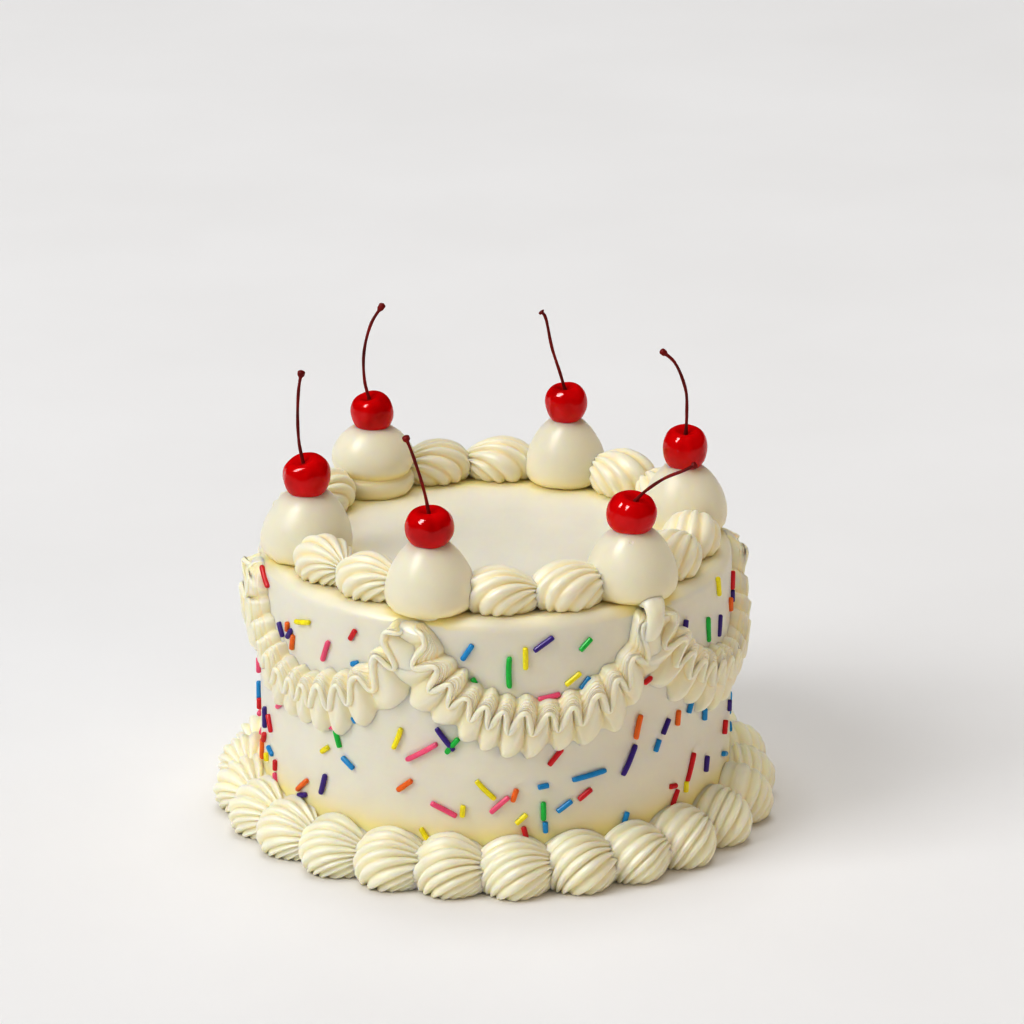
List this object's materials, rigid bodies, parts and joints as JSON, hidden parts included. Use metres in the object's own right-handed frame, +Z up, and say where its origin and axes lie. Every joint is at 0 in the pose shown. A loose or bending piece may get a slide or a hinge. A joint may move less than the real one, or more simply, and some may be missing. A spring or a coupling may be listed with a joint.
{
  "type": "iced celebration cake with cherries",
  "caption": "Round iced celebration cake: smooth sides with sprinkles and ruffled swags, a piped shell border at the foot, and a ring of shells and cherry-topped dollops on top.",
  "frame": {"origin": "on the surface that the cake stands on, under the centre of the cake", "axes": "+Z up along the cake's axis; the side that the picture shows faces -Y"},
  "size_m": [0.1965, 0.1971, 0.1656],
  "materials": {
    "icing": "smooth, softly shiny ivory buttercream with coloured sprinkles pressed in",
    "piping": "piped ivory buttercream with a soft sheen",
    "cherry": "wet, translucent bright red glazed cherry with a dark red-brown stem"
  },
  "bodies": {
    "root": {"cake": "icing", "dollop_01": "piping", "dollop_02": "piping", "dollop_03": "piping", "dollop_04": "piping", "dollop_05": "piping", "dollop_06": "piping", "cherry_01": "cherry", "cherry_02": "cherry", "cherry_03": "cherry", "cherry_04": "cherry", "cherry_05": "cherry", "cherry_06": "cherry", "top_shell_01": "piping", "top_shell_02": "piping", "top_shell_03": "piping", "top_shell_04": "piping", "top_shell_05": "piping", "top_shell_06": "piping", "top_shell_07": "piping", "top_shell_08": "piping", "top_shell_09": "piping", "top_shell_10": "piping", "top_shell_11": "piping", "top_shell_12": "piping", "foot_shell_01": "piping", "foot_shell_02": "piping", "foot_shell_03": "piping", "foot_shell_04": "piping", "foot_shell_05": "piping", "foot_shell_06": "piping", "foot_shell_07": "piping", "foot_shell_08": "piping", "foot_shell_09": "piping", "foot_shell_10": "piping", "foot_shell_11": "piping", "foot_shell_12": "piping", "foot_shell_13": "piping", "foot_shell_14": "piping", "foot_shell_15": "piping", "foot_shell_16": "piping", "foot_shell_17": "piping", "foot_shell_18": "piping", "foot_shell_19": "piping", "foot_shell_20": "piping", "foot_shell_21": "piping", "foot_shell_22": "piping", "foot_shell_23": "piping", "foot_shell_24": "piping", "foot_shell_25": "piping", "swag_01": "piping", "swag_02": "piping", "swag_03": "piping", "swag_04": "piping", "swag_05": "piping", "swag_06": "piping"}
  },
  "joints": []
}
